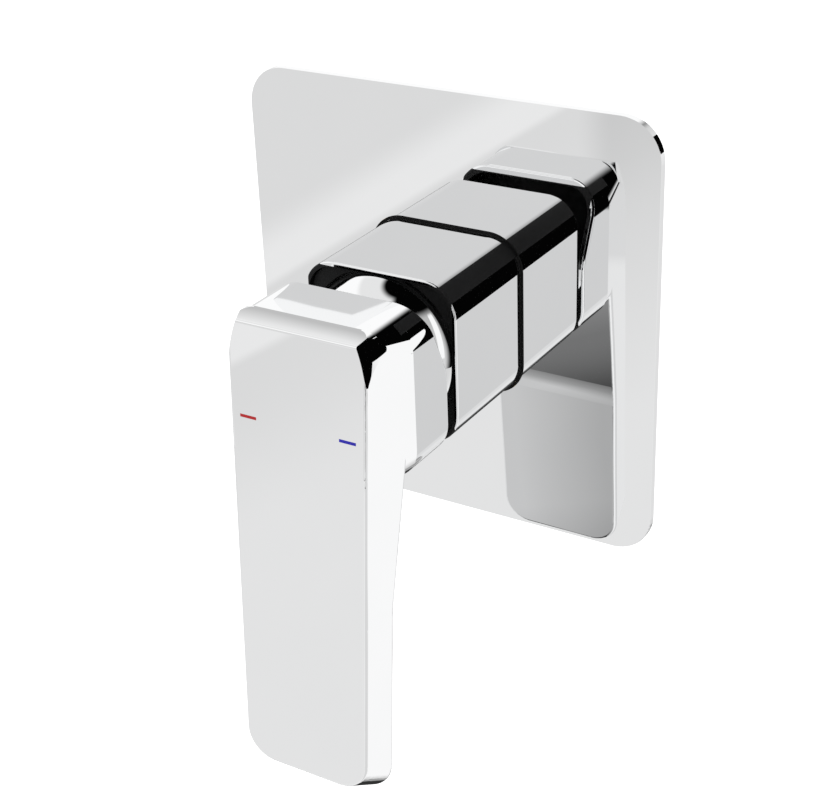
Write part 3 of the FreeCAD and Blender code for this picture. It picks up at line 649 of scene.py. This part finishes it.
def table_paper(bearing, rise):
    """Paper below, up to its far edge, which steps up and down as the bearing goes round."""
    edge = -14
    for first, last, step in (
            (-42, -34, -9.1), (-30, -26, 2.4), (-26, -15, -0.3), (100, 180, 52), (201, 209, -37),
            (209, 214, 9), (214, 260, -3), (260, 268, -24), (278, 290, 14), (290, 300, -4)):
        edge = edge + step * bearing.ramp(first, last, soft=False)
    paper = 0.7 + bearing.inside(-16, 60, 7) * (0.17 - 0.37 * rise.ramp(-22.7, -21.2))
    paper = paper + 0.3 * bearing.inside(207, 262, 12)
    return paper * (1 - (rise - edge).ramp(-0.08, 0.08)) * (1 - bearing.inside(90, 188, 8))


def right_side(bearing, rise):
    """A bright gap on the right, and greyer cloth from there to the front."""
    gap_of_light = bearing.inside(278, 286, 1) * rise.inside(-13, 44, 4)
    cloth = bearing.ramp(270, 279).largest(1 - bearing.ramp(-50, -43))
    cloth = cloth * (0.72 - 0.2 * rise.ramp(-20, 40)) * (1 - rise.ramp(40, 52))
    return gap_of_light.largest(cloth)


def studio(start):
    """Light from each direction, by its bearing and its rise over eye level, in degrees."""
    x, y, z = start.node("TexCoord", {}, "Generated").axes()
    degrees = 180 / math.pi
    bearing = start.sum("ARCTAN2", x, y) * degrees + 180
    bearing = bearing - 360 * (bearing > 300)
    rise = start.sum("ARCSINE", z) * degrees
    tent = left_cloth(bearing, rise).largest(
        table_paper(bearing, rise), right_side(bearing, rise), dark_room)
    seen = start.node("LightPath", {}, "Is Camera Ray")
    mirrored = start.node("LightPath", {}, "Is Glossy Ray")
    return seen + (1 - seen) * (mirrored * tent + (1 - mirrored) * even_light)


world = bpy.data.worlds.new("studio")
world.use_nodes = True
bpy.context.scene.world = world
sky = world.node_tree.nodes["Background"]
sky.inputs["Color"].default_value = (1, 1, 1, 1)
world.node_tree.links.new(studio(Tone(world.node_tree)).socket, sky.inputs["Strength"])
bpy.context.scene.view_settings.view_transform = "Standard"


# Near cloth: a small panel of the same cloth close in front, with one lighter fold that the plate mirrors.
# It fades out at its borders, is there for the chrome alone and throws neither light nor shadow.
panel_width = 0.28
panel_height = 0.32
panel_drop = 0.04
panel_distance = 0.25
panel_turn = math.radians(30)
panel_dip = math.radians(20)


def folded_cloth(start):
    across, along, _ = start.place().axes()
    run = along + 0.56 * across
    fold = run.ramp(0.033, 0.038) * (1 - run.ramp(0.046, 0.066))
    far_side = (1 - across.ramp(-0.068, -0.052)) * run.ramp(-0.1, 0, soft=False)
    tone = 0.745 + 0.07 * (1 - run.ramp(-0.03, 0.03)) + 0.115 * fold - 0.12 * far_side
    middle = across.ramp(-0.14, -0.092) * (1 - across.ramp(0.09, 0.14))
    middle = middle * along.ramp(-0.2, -0.13) * (1 - along.ramp(0.085, 0.12))
    return {"Emission Color": start.between(tone, (0, 0, 0), (1, 1, 1)), "Alpha": middle}


def stand(place, right, up, back):
    """Matrix that puts a thing in a place, with its x, y and z along three directions."""
    return Matrix.Translation(place) @ Matrix((right, up, back)).transposed().to_4x4()


bpy.ops.object.select_all(action="DESELECT")
bpy.ops.mesh.primitive_plane_add(size=1, location=(0, -panel_drop, 0))
panel = bpy.context.object
panel.name = "near_cloth"
panel.scale = (panel_width, panel_height, 1)
bpy.ops.object.transform_apply(location=True, rotation=True, scale=True)
level = math.cos(panel_dip)
towards = Vector((-math.sin(panel_turn) * level, -math.cos(panel_turn) * level, -math.sin(panel_dip)))
sideways = Vector((-math.cos(panel_turn), math.sin(panel_turn), 0))
upwards = sideways.cross(towards)
upwards *= math.copysign(1, upwards.z)
panel.matrix_world = stand(panel_distance * towards, sideways, upwards, sideways.cross(upwards))
panel.data.materials.append(make_finish("folded cloth", {
    "Base Color": (0, 0, 0, 1), "Specular IOR Level": 0.0, "Emission Strength": 1.0}, folded_cloth))
panel.visible_camera = panel.visible_diffuse = panel.visible_shadow = panel.visible_transmission = False


# Floor: white paper a quarter of a metre under the part. It shows plain white to the camera, and takes only
# the faintest shadow.
floor_side = 8
floor_gap = 0.25


def white_paper(start):
    fibres = start.noise(start.place(), size=0.002)
    seen = start.node("LightPath", {}, "Is Camera Ray")
    return {"Base Color": start.between(fibres, (0.8, 0.8, 0.8), (0.86, 0.86, 0.86)),
            "Roughness": 0.8 + 0.1 * fibres,
            "Emission Color": start.between(seen, (0, 0, 0), (0.6, 0.6, 0.6))}


bpy.ops.object.select_all(action="DESELECT")
bpy.ops.mesh.primitive_plane_add(size=floor_side, location=(0, 0, cad_box[0][2] - floor_gap))
floor = bpy.context.object
floor.name = "floor"
floor.visible_glossy = False
floor.data.materials.append(make_finish("white paper", {"Emission Strength": 1.0}, white_paper))


# Lamp: one large soft box above and to the left, turned to the part. It gives the plastics and the enamel a
# little shape, and the chrome doesn't mirror it.
lamp_place = Vector((-0.7, -0.9, 1.1))
bpy.ops.object.light_add(type="AREA", location=lamp_place)
lamp = bpy.context.object
lamp.name = "soft box"
lamp.data.size = 1.2
lamp.data.energy = 9
lamp.rotation_euler = (-lamp_place).to_track_quat("-Z", "Y").to_euler()
lamp.visible_glossy = False


# Camera: a long lens above the lever's right shoulder, where the photographer stood. It is rolled a
# little, as theirs was.
camera_place = (0.2144, -0.36576, 0.18594)
yaw, tilt, roll = math.radians(32.09), math.radians(26.92), math.radians(-2.28)
back = Vector((math.sin(yaw) * math.cos(tilt), -math.cos(yaw) * math.cos(tilt), math.sin(tilt)))
right = Vector((math.cos(yaw), math.sin(yaw), 0))
up = back.cross(right)
right, up = math.cos(roll) * right + math.sin(roll) * up, math.cos(roll) * up - math.sin(roll) * right
lens = bpy.data.cameras.new("camera")
lens.lens = 76.14
lens.sensor_width = 36.0
camera = bpy.data.objects.new("camera", lens)
bpy.context.scene.collection.objects.link(camera)
camera.matrix_world = stand(camera_place, right, up, back)
bpy.context.scene.camera = camera
